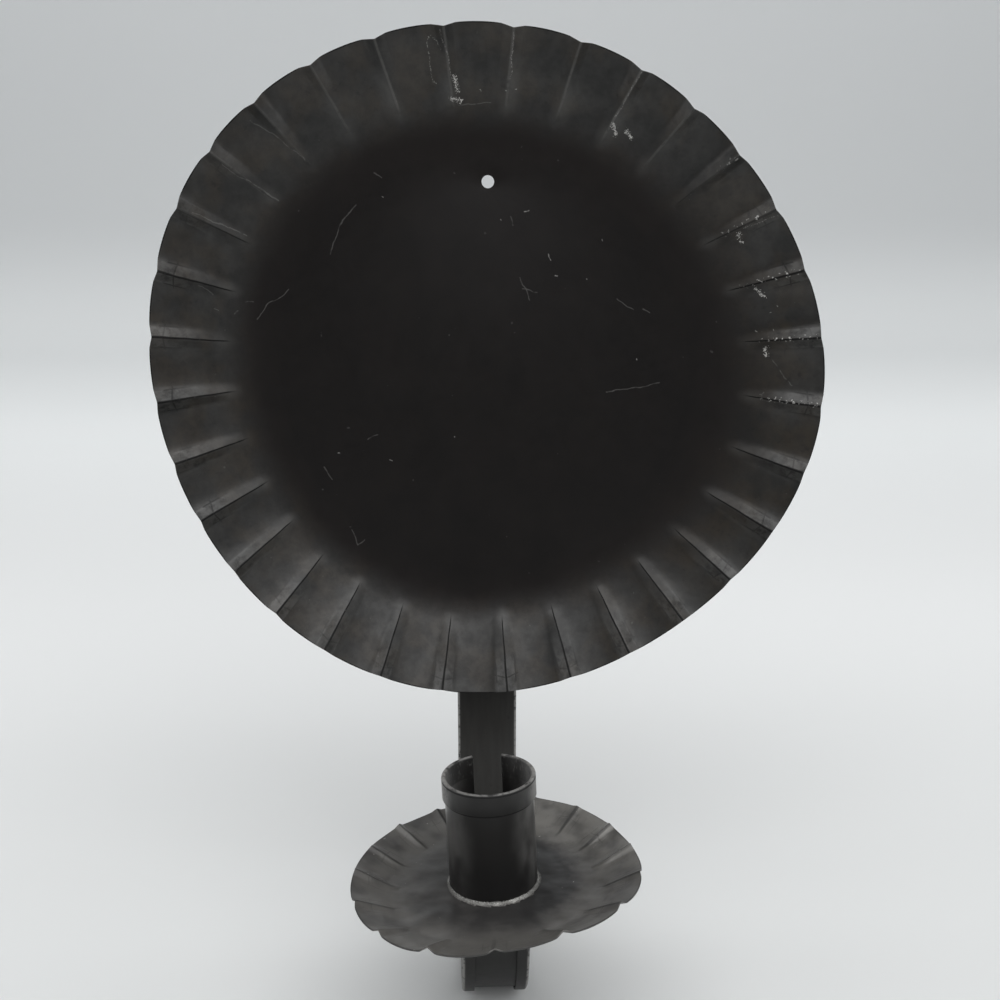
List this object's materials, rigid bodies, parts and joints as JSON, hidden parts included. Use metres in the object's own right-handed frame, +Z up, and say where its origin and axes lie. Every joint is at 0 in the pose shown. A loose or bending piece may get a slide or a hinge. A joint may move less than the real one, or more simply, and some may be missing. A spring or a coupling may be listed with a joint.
{
  "type": "tin reflector sconce",
  "caption": "Wall candle sconce of painted tinplate: dished round reflector with a crimped rim, hemmed J-shaped strap arm, crimped drip pan and open-seamed candle socket.",
  "frame": {"origin": "centre of the nail hole, on the back face of the reflector, where the sconce hangs on the wall", "axes": "+Z up, +Y into the wall, +X to the right for someone who faces the sconce"},
  "size_m": [0.1926, 0.1026, 0.2737],
  "materials": {
    "black_tin": "thin satin brown-black paint on tinplate, worn to metal at the crimps and edges, with hairline scratches",
    "grey_tin": "dark paint worn to a mottled grey, stained darker round the socket",
    "solder": "dull soft solder, rubbed bright where the paint has worn off"
  },
  "bodies": {
    "root": {"reflector": "black_tin", "arm": "black_tin", "drip_pan": "grey_tin", "candle_socket": "black_tin", "socket_solder": "solder", "pan_solder": "solder", "strap_solder_top": "solder", "strap_solder_left": "solder", "strap_solder_right": "solder"}
  },
  "joints": []
}
